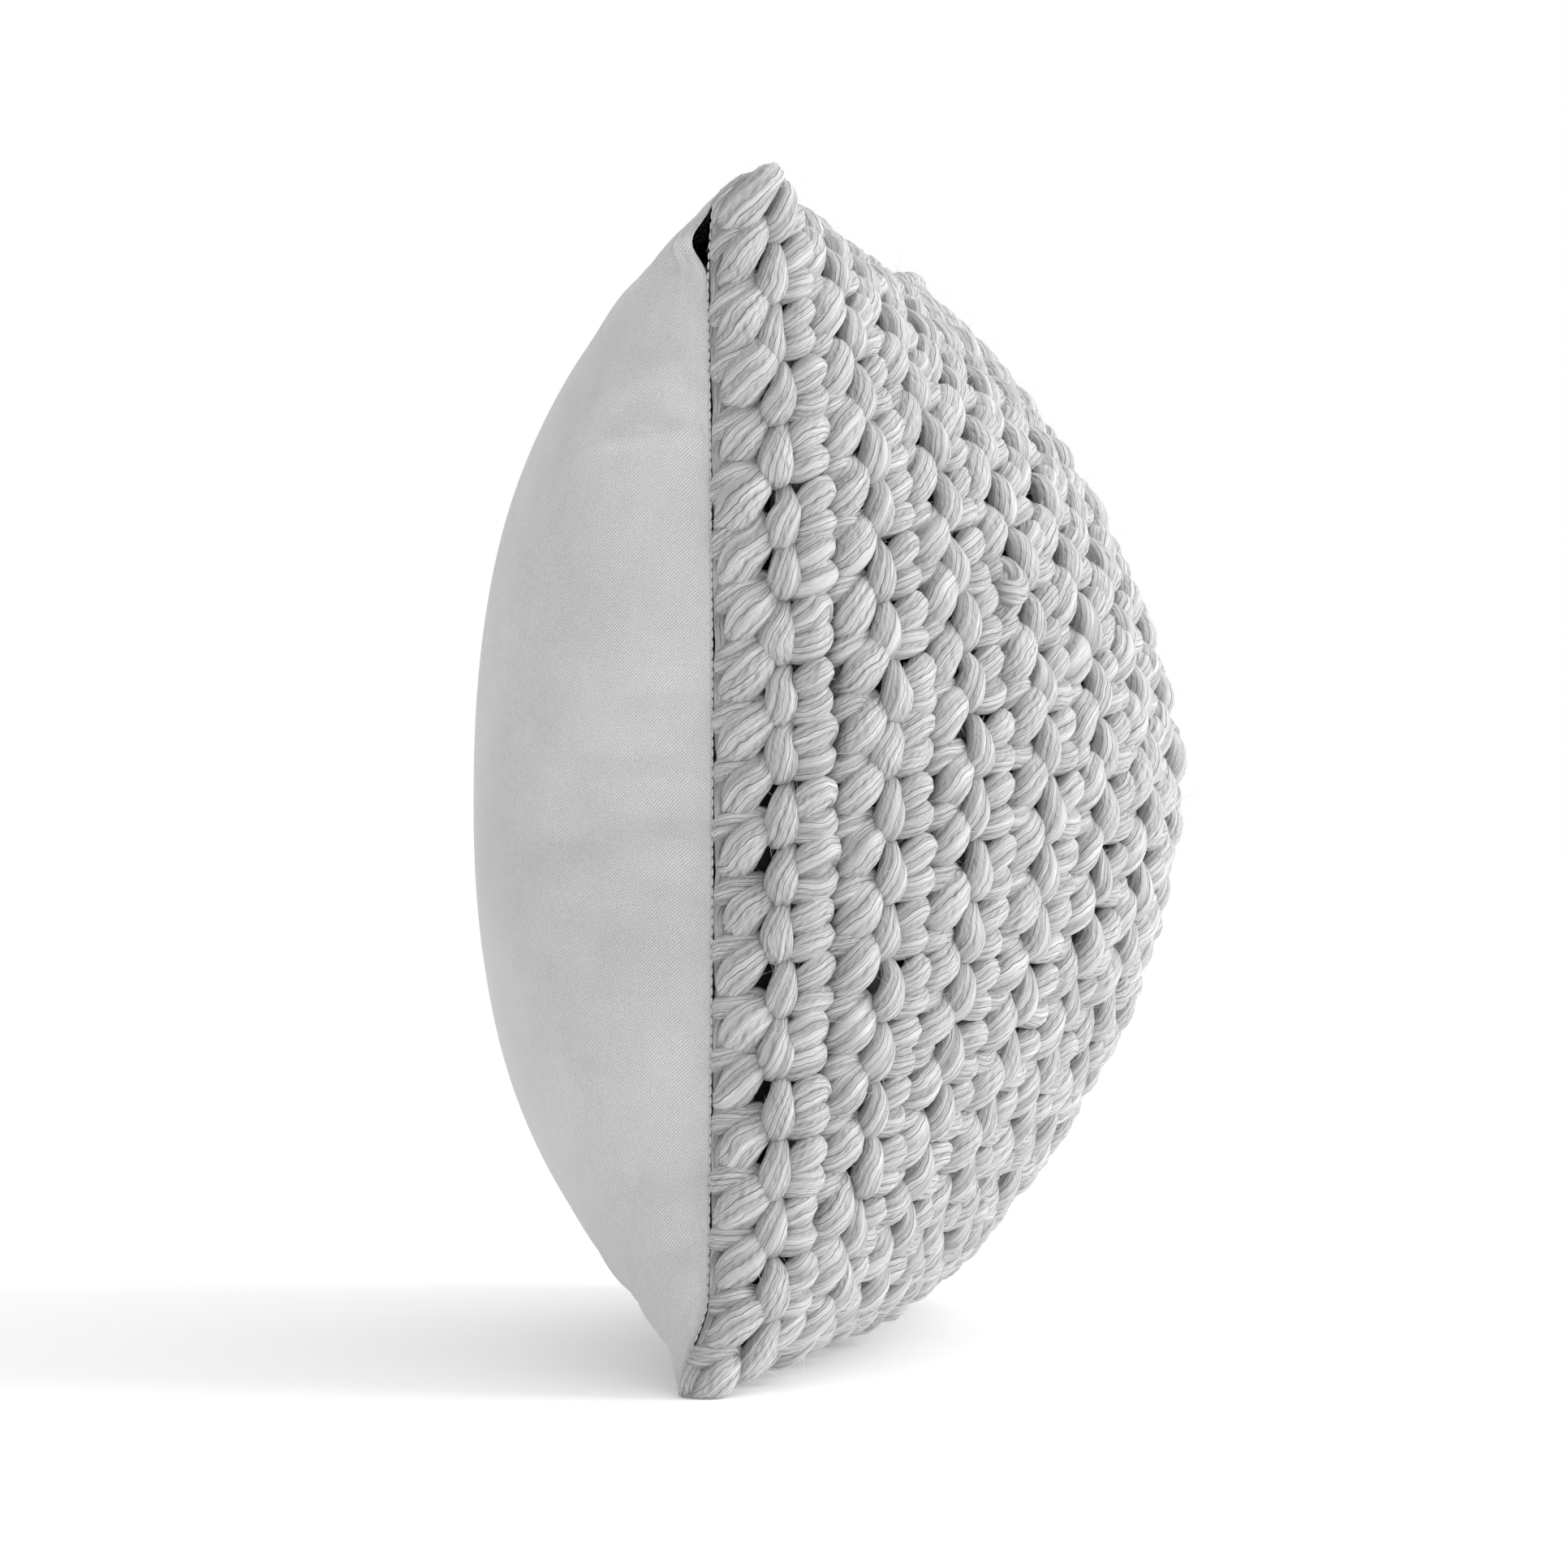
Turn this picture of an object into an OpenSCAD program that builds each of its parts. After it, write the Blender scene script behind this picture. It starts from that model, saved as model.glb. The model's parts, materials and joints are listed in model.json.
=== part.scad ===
// Throw pillow: crocheted front, satin back, zip in the bottom seam, separate fibre-filled insert.
// It stands on its two bottom corners with the crochet facing -Y. Millimetres.

/* [Pillow] */
// Distance between neighbouring corners of the filled pillow
span = 450; // [420:10:480]
// How far the crochet stands out in front of the seam
front_bulge = 150; // [120:5:155]
// How far the satin stands out behind the seam
back_bulge = 120; // [90:5:130]
// How far the middle of an edge is drawn in, as a share of half the span
edge_draw = 0.07; // [0.05:0.01:0.08]
// How far the weight presses the bottom corners flat
corner_squash = 7; // [5:1:8]

/* [Cloths] */
// Depth of the crochet stitches at the crown of the bulge
crochet_depth = 17; // [12:1:20]
// Depth of the crochet stitches at the edge
crochet_edge = 13; // [10:1:14]
// Thickness of the rolled edge of the crochet, measured out from the seam
crochet_lip = 26; // [20:1:28]
// Thickness of the satin cloth
satin_thickness = 0.6; // [0.5:0.1:1]
// Thickness of the lining behind the crochet
lining_thickness = 0.8; // [0.6:0.1:1]
// Thickness of the insert's casing
casing_thickness = 0.8; // [0.6:0.1:1]
// How far the insert's own edge stands inside the cover
insert_inset = 28; // [28:1:34]

/* [Threads] */
// Thickness of the sewing threads
thread_d = 0.8; // [0.6:0.1:1]
// Thickness of the overlocked bead inside the cover
overlock_d = 2.4; // [1.6:0.2:2.6]

/* [Zip] */
// Length of the zip's coils, as a share of the span
zip_share = 0.755; // [0.5:0.005:0.76]
// Width of each zip tape beyond its coil
tape_width = 9; // [7:1:10]
// Length of the slider
slider_length = 10; // [9:1:12]
// Length of the pull from its pin
pull_length = 19; // [14:1:20]

/* [Hidden] */
half = span / 2;
middle_z = half - corner_squash;
seam_y = (front_bulge - back_bulge) / 2;
// Clear space kept between neighbouring solids
gap = 0.5;
seam_gap = 0.2;
// Half the opening that the seam leaves for the zip
zip_gap = 4.7;
grid = 24;
front_power = 1.75;
front_root = 0.7;
back_power = 2.6;
back_root = 0.6;
lip_power = 40;
// The top and side edges curve evenly; the bottom edge is straight where the zip stiffens it
soft_edge = 2;
stiff_edge = 8;

satin_half = half - 9;
crochet_inner = half - crochet_edge;
lining_outer = crochet_inner - gap;
lining_inner = lining_outer - lining_thickness;
casing_outer = half - insert_inset;
casing_inner = casing_outer - casing_thickness;
fill_half = casing_inner - gap;

crochet_inner_rise = front_bulge - crochet_depth;
lining_outer_rise = crochet_inner_rise - gap;
lining_inner_rise = lining_outer_rise - lining_thickness;
casing_front_rise = lining_inner_rise - gap;
casing_back_rise = back_bulge - satin_thickness - gap;
fill_front_rise = casing_front_rise - casing_thickness - gap;
fill_back_rise = casing_back_rise - casing_thickness - gap;

zip_half = span * zip_share / 2;
// Height of the bottom edge of a layer of half width w, over the straight run of the zip
function bottom_z(w) = middle_z - w * (1 - edge_draw);
tape_z = bottom_z(lining_inner) + 4;
tape_thickness = 0.6;
coil_inner = 0.6;
coil_outer = 2.3;
coil_height = 2.6;
chain_z = tape_z + tape_thickness / 2;
plate = 1.2;
slider_width = 7.6;
slider_inside = 3.4;
post_width = 0.6 * coil_inner;
slider_x = zip_half - 9;
plate_z = chain_z - slider_inside / 2 - plate;
pin_z = plate_z - 0.9;
pin_d = 1.2;
bridge_width = 2.4;
bridge_bar = 0.7;
arm_inner = 1.6;
arm_outer = 2.2;
$fn = 40;

// Which piece to show

// ---- Shape of the pillow ----

// From 0 at a to 1 at b, eased at both ends
function eased(t) = t <= 0 ? 0 : t >= 1 ? 1 : t * t * (3 - 2 * t);

// Positions from -1 to 1, closer together towards the edges
steps = [for (i = [0:grid]) sin(90 * (2 * i / grid - 1))];

function across(w, u, v) = w * u * (1 - edge_draw * (1 - v * v));
function upward(w, u, v) =
    middle_z + w * v * (1 - edge_draw * (1 - pow(abs(u), v < 0 ? stiff_edge : soft_edge)));

// Share of the bulge at a place: 0 at the edge and 1 at the crown
function swell(u, v, power, root) =
    pow(max(0, (1 - pow(abs(u), power)) * (1 - pow(abs(v), power))), root);
function lip(u, v) = sqrt(max(0, 1 - pow(max(abs(u), abs(v)), lip_power)));

// Half the opening of the seam: narrow all round, and wide along the zip
function opening(x, v) =
    seam_gap + (zip_gap - seam_gap) * eased((zip_half + 26 - abs(x)) / 16) * eased((-v - 0.75) / 0.2);

// A point of a front layer: w is its half width, rise its bulge, roll its rolled edge
function front_point(w, rise, roll, u, v) =
    let (x = across(w, u, v))
    [
        x,
        -opening(x, v) - roll * lip(u, v) - (rise - roll) * swell(u, v, front_power, front_root),
        upward(w, u, v)
    ];
function back_point(w, rise, u, v) =
    let (x = across(w, u, v))
    [
        x,
        opening(x, v) + rise * swell(u, v, back_power, back_root),
        upward(w, u, v)
    ];
function front_layer(w, rise, roll = 0) =
    [for (u = steps) for (v = steps) front_point(w, rise, roll, u, v)];
function back_layer(w, rise) =
    [for (u = steps) for (v = steps) back_point(w, rise, u, v)];

// ---- Solids from layers of points ----

count = (grid + 1) * (grid + 1);
function at(i, j) = i * (grid + 1) + j;
// Each cell is split along the line that runs towards the nearest corner
function toward_corner(i, j) = (i < grid / 2) == (j < grid / 2);
function cell(a, b, c, d, along) = along ? [[a, b, c], [a, c, d]] : [[a, b, d], [b, c, d]];
layer_faces = [
    for (i = [0:grid - 1])
        for (j = [0:grid - 1])
            each cell(at(i, j), at(i, j + 1), at(i + 1, j + 1), at(i + 1, j), toward_corner(i, j))
];
// The edge of a layer, once round
rim = concat(
    [for (i = [0:grid - 1]) at(i, 0)],
    [for (j = [0:grid - 1]) at(grid, j)],
    [for (i = [grid:-1:1]) at(i, grid)],
    [for (j = [grid:-1:1]) at(0, j)]
);
rim_count = len(rim);

// Closed solid between two layers; the first one faces -Y
module between(first, second) {
    wall = [
        for (k = [0:rim_count - 1])
            let (a = rim[k], b = rim[(k + 1) % rim_count])
                each [[a, b, b + count], [a, b + count, a + count]]
    ];
    far = [for (f = layer_faces) [f[2] + count, f[1] + count, f[0] + count]];
    polyhedron(points = concat(first, second), faces = concat(layer_faces, wall, far));
}

// Closed ring of thread that follows the pillow's edge; path is the list of its centres
function unit(p) = p / norm(p);
module ring_of_thread(path, d, sides = 6) {
    n = len(path);
    points = [
        for (k = [0:n - 1])
            let (along = unit(path[(k + 1) % n] - path[(k + n - 1) % n]))
            let (out = unit(cross(along, [0, 1, 0])))
            let (side = cross(out, along))
                for (s = [0:sides - 1])
                    path[k] + d / 2 * (cos(360 * s / sides) * out + sin(360 * s / sides) * side)
    ];
    faces = [
        for (k = [0:n - 1])
            for (s = [0:sides - 1])
                let (a = k * sides + s)
                let (b = k * sides + (s + 1) % sides)
                let (c = ((k + 1) % n) * sides + (s + 1) % sides)
                let (e = ((k + 1) % n) * sides + s)
                    each [[a, c, b], [a, e, c]]
    ];
    polyhedron(points = points, faces = faces);
}
// Edge path of half width w; shift(x, v) moves it in Y
function edge_uv(k) = [steps[floor(rim[k] / (grid + 1))], steps[rim[k] % (grid + 1)]];
function edge_place(w, k) = let (e = edge_uv(k)) [across(w, e[0], e[1]), 0, upward(w, e[0], e[1])];

// ---- Cover ----

module crochet_front() {
    color("#b9bbbf")
        difference() {
            between(
                front_layer(half, front_bulge, crochet_lip),
                front_layer(crochet_inner, crochet_inner_rise)
            );
            // The floor presses the two bottom corners flat
            translate([-span / 2 - 5, -front_bulge - 5, -20])
                cube([span + 10, front_bulge + 10, 20]);
        }
}

module satin_back() {
    color("#c6c8cc")
        between(
            back_layer(satin_half - satin_thickness, back_bulge - satin_thickness),
            back_layer(satin_half, back_bulge)
        );
}

// The stitching lies in the groove between the satin's edge and the crochet's rolled edge
module cover_seam_thread() {
    path = [
        for (k = [0:rim_count - 1])
            let (p = edge_place(satin_half + 1.3, k))
                p + [0, opening(p[0], edge_uv(k)[1]) + thread_d / 2 + 0.1, 0]
    ];
    color("#d8dadd") ring_of_thread(path, thread_d);
}

module front_lining() {
    color("#6f7278")
        between(
            front_layer(lining_outer, lining_outer_rise),
            front_layer(lining_inner, lining_inner_rise)
        );
}

// The overlocked bead stands inside the seam and steps back behind the zip tape
module overlock_thread() {
    step_back = (tape_width + coil_outer + 2.5) / (zip_gap - seam_gap);
    path = [
        for (k = [0:rim_count - 1])
            let (p = edge_place(lining_inner - 5.3, k))
                p + [0, step_back * (opening(p[0], edge_uv(k)[1]) - seam_gap), 0]
    ];
    color("#e4e5e7") ring_of_thread(path, overlock_d);
}

// ---- Zip ----

module zip_tape(side) {
    color("#a9abb0")
        translate([-zip_half - 6, side > 0 ? coil_outer + 0.3 : -coil_outer - 0.3 - tape_width, tape_z])
            cube([2 * zip_half + 12, tape_width, tape_thickness]);
}

// A coil as the straight bar that it fills
module zip_coil(side) {
    width = coil_outer - coil_inner;
    color("#9fa1a6")
        translate([-zip_half, side * (coil_inner + width / 2), chain_z])
            rotate([0, 90, 0])
                linear_extrude(height = 2 * zip_half)
                    square([coil_height, width], center = true);
}

module zip_tape_front() {
    zip_tape(-1);
}

module zip_tape_back() {
    zip_tape(1);
}

module zip_coil_front() {
    zip_coil(-1);
}

module zip_coil_back() {
    zip_coil(1);
}

// One plate of the slider, with rounded ends
module slider_plate() {
    end = slider_width / 2 - 0.6;
    hull() {
        translate([-slider_length / 2 + end, 0, 0]) cylinder(r = end, h = plate);
        translate([slider_length / 2 - end - 0.6, 0, 0]) cylinder(r = end + 0.6, h = plate);
    }
}

// Two plates joined by the narrow post that parts the coils, and the bridge that holds the pull
module zip_slider() {
    color("#8d9096")
        translate([slider_x, 0, plate_z]) {
            slider_plate();
            translate([0, 0, plate + slider_inside]) slider_plate();
            translate([slider_length / 2 - 2.6, -post_width / 2, 0])
                cube([1.6, post_width, 2 * plate + slider_inside]);
            for (x = [-2.4, 1.6])
                translate([x, -bridge_width / 2, -1.8])
                    cube([0.8, bridge_width, 1.9]);
            translate([-2.4, -bridge_width / 2, -1.8 - bridge_bar])
                cube([4.8, bridge_width, bridge_bar]);
        }
}

// The pin turns under the bridge, and the tab hangs from it
module zip_pull() {
    tab_start = 5;
    color("#8d9096")
        translate([slider_x, 0, pin_z]) {
            rotate([90, 0, 0]) cylinder(d = pin_d, h = 2 * arm_outer, center = true);
            for (side = [-1, 1])
                translate([-pin_d / 2, side > 0 ? arm_inner : -arm_outer, -tab_start - 0.4])
                    cube([pin_d, arm_outer - arm_inner, tab_start + 0.4]);
            difference() {
                hull() {
                    translate([-0.5, -arm_outer, -tab_start - 0.4]) cube([1, 2 * arm_outer, 0.4]);
                    translate([0, 0, -pull_length + arm_outer])
                        rotate([0, 90, 0]) cylinder(r = arm_outer, h = 1, center = true);
                }
                translate([0, 0, -pull_length + arm_outer])
                    rotate([0, 90, 0]) cylinder(r = 1, h = 2, center = true);
            }
        }
}

module zip_top_stops() {
    color("#8d9096")
        for (side = [-1, 1])
            translate([zip_half + 0.3, side > 0 ? coil_inner : -coil_outer, chain_z - 1.2])
                cube([2.4, coil_outer - coil_inner, 2.4]);
}

module zip_bottom_stop() {
    color("#8d9096")
        translate([-zip_half - 3.1, -coil_outer, chain_z - 1.2])
            cube([2.8, 2 * coil_outer, 2.4]);
}

// ---- Insert ----

module insert_front_casing() {
    color("#f2f2f0")
        between(
            insert_front(casing_outer, casing_front_rise),
            insert_front(casing_inner, casing_front_rise - casing_thickness)
        );
}

module insert_back_casing() {
    color("#f2f2f0")
        between(
            insert_back(casing_inner, casing_back_rise - casing_thickness),
            insert_back(casing_outer, casing_back_rise)
        );
}

// The insert's seam is closed all round, so its layers don't open at the zip
function insert_front(w, rise, edge = seam_gap) =
    [for (u = steps) for (v = steps)
        [across(w, u, v), -edge - (rise - edge) * swell(u, v, front_power, front_root), upward(w, u, v)]];
function insert_back(w, rise, edge = seam_gap) =
    [for (u = steps) for (v = steps)
        [across(w, u, v), edge + (rise - edge) * swell(u, v, back_power, back_root), upward(w, u, v)]];

module insert_seam_thread() {
    path = [for (k = [0:rim_count - 1]) edge_place(casing_outer + 1.2, k)];
    color("#ffffff") ring_of_thread(path, thread_d);
}

module fibre_fill() {
    color("#fafafa")
        between(
            insert_front(fill_half, fill_front_rise, seam_gap / 2),
            insert_back(fill_half, fill_back_rise, seam_gap / 2)
        );
}

// ---- Assembly ----

translate([0, seam_y, 0]) {
    crochet_front();
    satin_back();
    cover_seam_thread();
    front_lining();
    overlock_thread();
    zip_tape_front();
    zip_tape_back();
    zip_coil_front();
    zip_coil_back();
    zip_slider();
    zip_pull();
    zip_top_stops();
    zip_bottom_stop();
    insert_front_casing();
    insert_back_casing();
    insert_seam_thread();
    fibre_fill();
}
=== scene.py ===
"""Throw pillow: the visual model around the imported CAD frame. Metres; +Z up, the crochet faces -Y."""

import json
import math

import bpy
import numpy as np
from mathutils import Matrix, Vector

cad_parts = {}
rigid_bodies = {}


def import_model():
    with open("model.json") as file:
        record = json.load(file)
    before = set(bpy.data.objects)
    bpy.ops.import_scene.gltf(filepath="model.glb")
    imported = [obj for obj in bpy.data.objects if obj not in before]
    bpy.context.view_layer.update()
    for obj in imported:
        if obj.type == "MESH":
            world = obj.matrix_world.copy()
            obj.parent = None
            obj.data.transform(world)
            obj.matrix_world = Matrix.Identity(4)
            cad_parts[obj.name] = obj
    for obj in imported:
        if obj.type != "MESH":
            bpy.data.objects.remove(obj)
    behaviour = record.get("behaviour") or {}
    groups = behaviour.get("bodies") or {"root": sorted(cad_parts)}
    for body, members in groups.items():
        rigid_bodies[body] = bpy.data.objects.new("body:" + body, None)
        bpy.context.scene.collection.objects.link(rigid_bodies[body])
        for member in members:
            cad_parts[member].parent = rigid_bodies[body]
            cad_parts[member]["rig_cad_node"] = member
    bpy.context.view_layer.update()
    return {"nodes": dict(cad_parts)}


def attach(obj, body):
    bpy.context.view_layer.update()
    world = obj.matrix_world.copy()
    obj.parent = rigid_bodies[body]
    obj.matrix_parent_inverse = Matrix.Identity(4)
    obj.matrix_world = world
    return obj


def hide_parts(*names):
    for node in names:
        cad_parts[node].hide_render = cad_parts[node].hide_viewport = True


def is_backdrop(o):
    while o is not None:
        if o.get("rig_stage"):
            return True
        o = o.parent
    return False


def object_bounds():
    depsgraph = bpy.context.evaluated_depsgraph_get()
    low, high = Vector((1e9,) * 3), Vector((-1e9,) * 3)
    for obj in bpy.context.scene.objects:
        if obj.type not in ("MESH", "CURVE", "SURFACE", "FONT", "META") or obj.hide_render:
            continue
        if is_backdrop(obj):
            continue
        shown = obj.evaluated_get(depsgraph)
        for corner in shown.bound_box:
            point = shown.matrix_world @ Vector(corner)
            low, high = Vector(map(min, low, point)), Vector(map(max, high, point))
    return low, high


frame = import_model()

# ---- The pillow's shape, as in the CAD source ----

MIDDLE_Z = 0.218
SEAM_Y = 0.015
DRAW = 0.07
SOFT_EDGE, STIFF_EDGE = 2, 8
FRONT_POWER, FRONT_ROOT = 1.75, 0.7
BACK_POWER, BACK_ROOT = 2.6, 0.6
LIP_POWER = 40
ZIP_HALF = 0.1699
SEAM_GAP, ZIP_GAP = 0.0002, 0.0047
# The wider gap for the zip fades out past the zip's ends and up from the bottom edge
ZIP_FADE_X, ZIP_FADE_RUN = 0.026, 0.016
ZIP_FADE_V, ZIP_FADE_RISE = 0.75, 0.2

# Where the corners lean, in metres from the middle and from the floor, and how far they move
CORNER_X, CORNER_RUN = 0.10, 0.11
LOW_BAND, LOW_BACK = 0.036, 0.010
HIGH_Z, HIGH_BAND, HIGH_FORWARD = 0.398, 0.045, 0.003
# The tips of the top corners
TIP_Z, TIP_BAND = 0.428, 0.020
TIP_X, TIP_RUN = 0.17, 0.04
TIP_FORWARD, TIP_DOWN = 0.0075, 0.0045
TIP_BACK_Y, TIP_DEPTH = 0.004, 0.018


def eased(t):
    t = np.clip(t, 0, 1)
    return t * t * (3 - 2 * t)


def across(w, u, v):
    return w * u * (1 - DRAW * (1 - v * v))


def upward(w, u, v):
    edge = np.where(v < 0, np.abs(u) ** STIFF_EDGE, np.abs(u) ** SOFT_EDGE)
    return MIDDLE_Z + w * v * (1 - DRAW * (1 - edge))


def swell(u, v, power, root):
    return np.maximum(0, (1 - np.abs(u) ** power) * (1 - np.abs(v) ** power)) ** root


def lip(u, v):
    return np.sqrt(np.maximum(0, 1 - np.maximum(np.abs(u), np.abs(v)) ** LIP_POWER))


def opening(x, v):
    sideways = eased((ZIP_HALF + ZIP_FADE_X - np.abs(x)) / ZIP_FADE_RUN)
    low_down = eased((-v - ZIP_FADE_V) / ZIP_FADE_RISE)
    return SEAM_GAP + (ZIP_GAP - SEAM_GAP) * sideways * low_down


def front_surface(w, rise, roll, u, v):
    x = across(w, u, v)
    y = SEAM_Y - opening(x, v) - roll * lip(u, v) - (rise - roll) * swell(u, v, FRONT_POWER, FRONT_ROOT)
    return np.stack([x, y, upward(w, u, v)], axis=-1)


def back_surface(w, rise, u, v):
    x = across(w, u, v)
    y = SEAM_Y + opening(x, v) + rise * swell(u, v, BACK_POWER, BACK_ROOT)
    return np.stack([x, y, upward(w, u, v)], axis=-1)


def lean(points):
    """Moves the corners as a filled pillow's do: the top ones forward, the bottom ones back to the satin."""
    x, z = np.abs(points[..., 0]), points[..., 2]
    corner = eased((x - CORNER_X) / CORNER_RUN)
    shift = LOW_BACK * eased((LOW_BAND - z) / LOW_BAND) - HIGH_FORWARD * eased((z - HIGH_Z) / HIGH_BAND)
    out = points.copy()
    out[..., 1] += corner * shift
    return out


def round_tip(points):
    """Pulls the tips of the top corners forward and down a little."""
    high = eased((points[..., 2] - TIP_Z) / TIP_BAND)
    tip = high * eased((np.abs(points[..., 0]) - TIP_X) / TIP_RUN)
    out = points.copy()
    out[..., 1] -= TIP_FORWARD * tip
    out[..., 2] -= TIP_DOWN * tip * eased((points[..., 1] + TIP_BACK_Y) / TIP_DEPTH)
    return out


def spaced(count):
    """Positions from -1 to 1 that lie closer together towards the ends."""
    return np.sin(np.linspace(-math.pi / 2, math.pi / 2, count))


NOISE_GAIN = 2.2  # the spline averages its random values, so its own range is smaller than -1 to 1


def smooth_noise(shape, cells, seed):
    """Smooth random values from about -1 to 1 on a grid (a cubic B-spline), with that many cells each way."""
    r = np.random.default_rng(seed)
    coarse = r.uniform(-1, 1, (cells[0] + 3, cells[1] + 3))

    def weights(n, c):
        at = np.linspace(0, c, n)
        i = np.minimum(at.astype(int), c - 1)
        f = at - i
        first, last = (1 - f) ** 3 / 6, f**3 / 6
        second = (3 * f**3 - 6 * f**2 + 4) / 6
        third = (-3 * f**3 + 3 * f**2 + 3 * f + 1) / 6
        return i, np.stack([first, second, third, last])

    i, wi = weights(shape[0], cells[0])
    j, wj = weights(shape[1], cells[1])
    out = np.zeros(shape)
    for a in range(4):
        for b in range(4):
            out += wi[a][:, None] * wj[b][None, :] * coarse[np.ix_(i + a, j + b)]
    return out * NOISE_GAIN


# ---- Mesh helpers ----


def mesh_object(name, points, quads, uvs=None, shade_tones=None):
    """A smooth mesh of quads. uvs are per face corner, and the painted shade tones per point."""
    mesh = bpy.data.meshes.new(name)
    n, f = len(points), len(quads)
    mesh.vertices.add(n)
    mesh.vertices.foreach_set("co", np.asarray(points, np.float32).ravel())
    mesh.loops.add(4 * f)
    mesh.loops.foreach_set("vertex_index", np.asarray(quads, np.int32).ravel())
    mesh.polygons.add(f)
    mesh.polygons.foreach_set("loop_start", np.arange(0, 4 * f, 4, dtype=np.int32))
    mesh.polygons.foreach_set("use_smooth", np.ones(f, bool))
    if uvs is not None:
        layer = mesh.uv_layers.new(name="weave")
        layer.data.foreach_set("uv", np.asarray(uvs, np.float32).ravel())
    if shade_tones is not None:
        attribute = mesh.attributes.new("painted_shade", "FLOAT", "POINT")
        attribute.data.foreach_set("value", np.asarray(shade_tones, np.float32).ravel())
    mesh.update()
    mesh.validate()
    obj = bpy.data.objects.new(name, mesh)
    bpy.context.scene.collection.objects.link(obj)
    return obj


TINY = 1e-12


def unit(vectors):
    return vectors / np.maximum(np.linalg.norm(vectors, axis=-1, keepdims=True), TINY)


def grid_quads(rows, columns):
    i, j = np.meshgrid(np.arange(rows - 1), np.arange(columns - 1), indexing="ij")
    a = (i * columns + j).ravel()
    return np.stack([a, a + columns, a + columns + 1, a + 1], axis=1)


def grid_object(name, points):
    """A sheet from a grid of points, with its uv in metres of cloth."""
    rows, columns = points.shape[:2]
    quads = grid_quads(rows, columns)
    flat = points.reshape(-1, 3)
    along = np.linalg.norm(np.diff(points, axis=0), axis=2)
    sideways = np.linalg.norm(np.diff(points, axis=1), axis=2)
    s = np.vstack([np.zeros(columns), np.cumsum(along, axis=0)])
    t = np.hstack([np.zeros((rows, 1)), np.cumsum(sideways, axis=1)])
    s -= s[rows // 2]
    t -= t[:, columns // 2][:, None]
    s *= (s[-1] - s[0])[columns // 2] / (s[-1] - s[0])
    t *= (t[:, -1] - t[:, 0])[rows // 2] / (t[:, -1] - t[:, 0])[:, None]
    uv = np.stack([s.ravel(), t.ravel()], axis=1)[quads.ravel()]
    return mesh_object(name, flat, quads, uvs=uv)


# ---- Materials ----

MM = 0.001


class Nodes:
    """A small helper that builds one material's node tree."""

    def __init__(self, name):
        self.material = bpy.data.materials.new(name)
        self.material.use_nodes = True
        self.tree = self.material.node_tree
        self.shader = self.tree.nodes["Principled BSDF"]

    def add(self, kind, inputs=None, **settings):
        node = self.tree.nodes.new(kind)
        for key, value in settings.items():
            setattr(node, key, value)
        for key, value in (inputs or {}).items():
            self.set(node.inputs[key], value)
        return node

    def set(self, socket, value):
        if isinstance(value, bpy.types.NodeSocket):
            self.tree.links.new(value, socket)
        else:
            socket.default_value = value

    def math(self, operation, a, b=0.0):
        node = self.add("ShaderNodeMath", operation=operation)
        self.set(node.inputs[0], a)
        self.set(node.inputs[1], b)
        return node.outputs[0]

    def ramp(self, value, low, high, out_low=0.0, out_high=1.0):
        ends = {"From Min": low, "From Max": high, "To Min": out_low, "To Max": out_high}
        return self.add("ShaderNodeMapRange", {"Value": value, **ends}).outputs[0]

    def noise(self, vector, scale, detail=2.0, roughness=0.5):
        inputs = {"Vector": vector, "Scale": scale, "Detail": detail, "Roughness": roughness}
        return self.add("ShaderNodeTexNoise", inputs).outputs[0]

    def blend(self, share, a, b):
        node = self.add("ShaderNodeMix", data_type="RGBA")
        self.set(node.inputs[0], share)
        self.set(node.inputs[6], a)
        self.set(node.inputs[7], b)
        return node.outputs[2]

    def bump(self, height, distance, strength):
        inputs = {"Height": height, "Distance": distance, "Strength": strength}
        return self.add("ShaderNodeBump", inputs).outputs[0]

    def shade(self, **inputs):
        """Sets the shader's own inputs, named with underscores for spaces."""
        for key, value in inputs.items():
            self.set(self.shader.inputs[key.replace("_", " ")], value)


def cloth_material(name, light, dark, rough, sheen, bump_mm, wale_mm, slope):
    """Woven cloth with diagonal wales; slope is their lean."""
    m = Nodes(name)
    uv = m.add("ShaderNodeUVMap", uv_map="weave").outputs[0]
    split = m.add("ShaderNodeSeparateXYZ", {"Vector": uv})
    x, y = split.outputs[0], split.outputs[1]
    wobble = m.math("MULTIPLY", m.noise(uv, 60.0, 3.0), 0.8 * wale_mm * MM)
    slant = m.math("ADD", m.math("ADD", x, m.math("MULTIPLY", y, slope)), wobble)
    turn = 2 * math.pi / (wale_mm * MM)
    wales = m.math("SINE", m.math("MULTIPLY", slant, turn))
    threads = m.math("SINE", m.math("MULTIPLY", y, turn * 1.9))
    weave = m.math("ADD", m.math("MULTIPLY", wales, 0.5), m.math("MULTIPLY", threads, 0.16))
    shade_blotch = m.noise(uv, 9.0, 4.0, 0.6)
    fine = m.noise(uv, 900.0, 2.0)
    share = m.math("ADD", m.ramp(weave, -0.6, 0.6, 0.0, 0.55), m.math("MULTIPLY", fine, 0.35))
    # Painted light and shade: large soft blotches lighten and darken the colour as the shading of small
    # puckers would; they also vary the roughness
    share = m.math("ADD", share, m.ramp(shade_blotch, 0.35, 0.65, -0.12, 0.12))
    m.shade(
        Base_Color=m.blend(share, dark, light),
        Roughness=m.ramp(shade_blotch, 0.3, 0.7, rough - 0.04, rough + 0.05),
        Sheen_Weight=sheen,
        Sheen_Roughness=0.45,
        Normal=m.bump(weave, bump_mm * MM, 0.7),
    )
    return m


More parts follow.
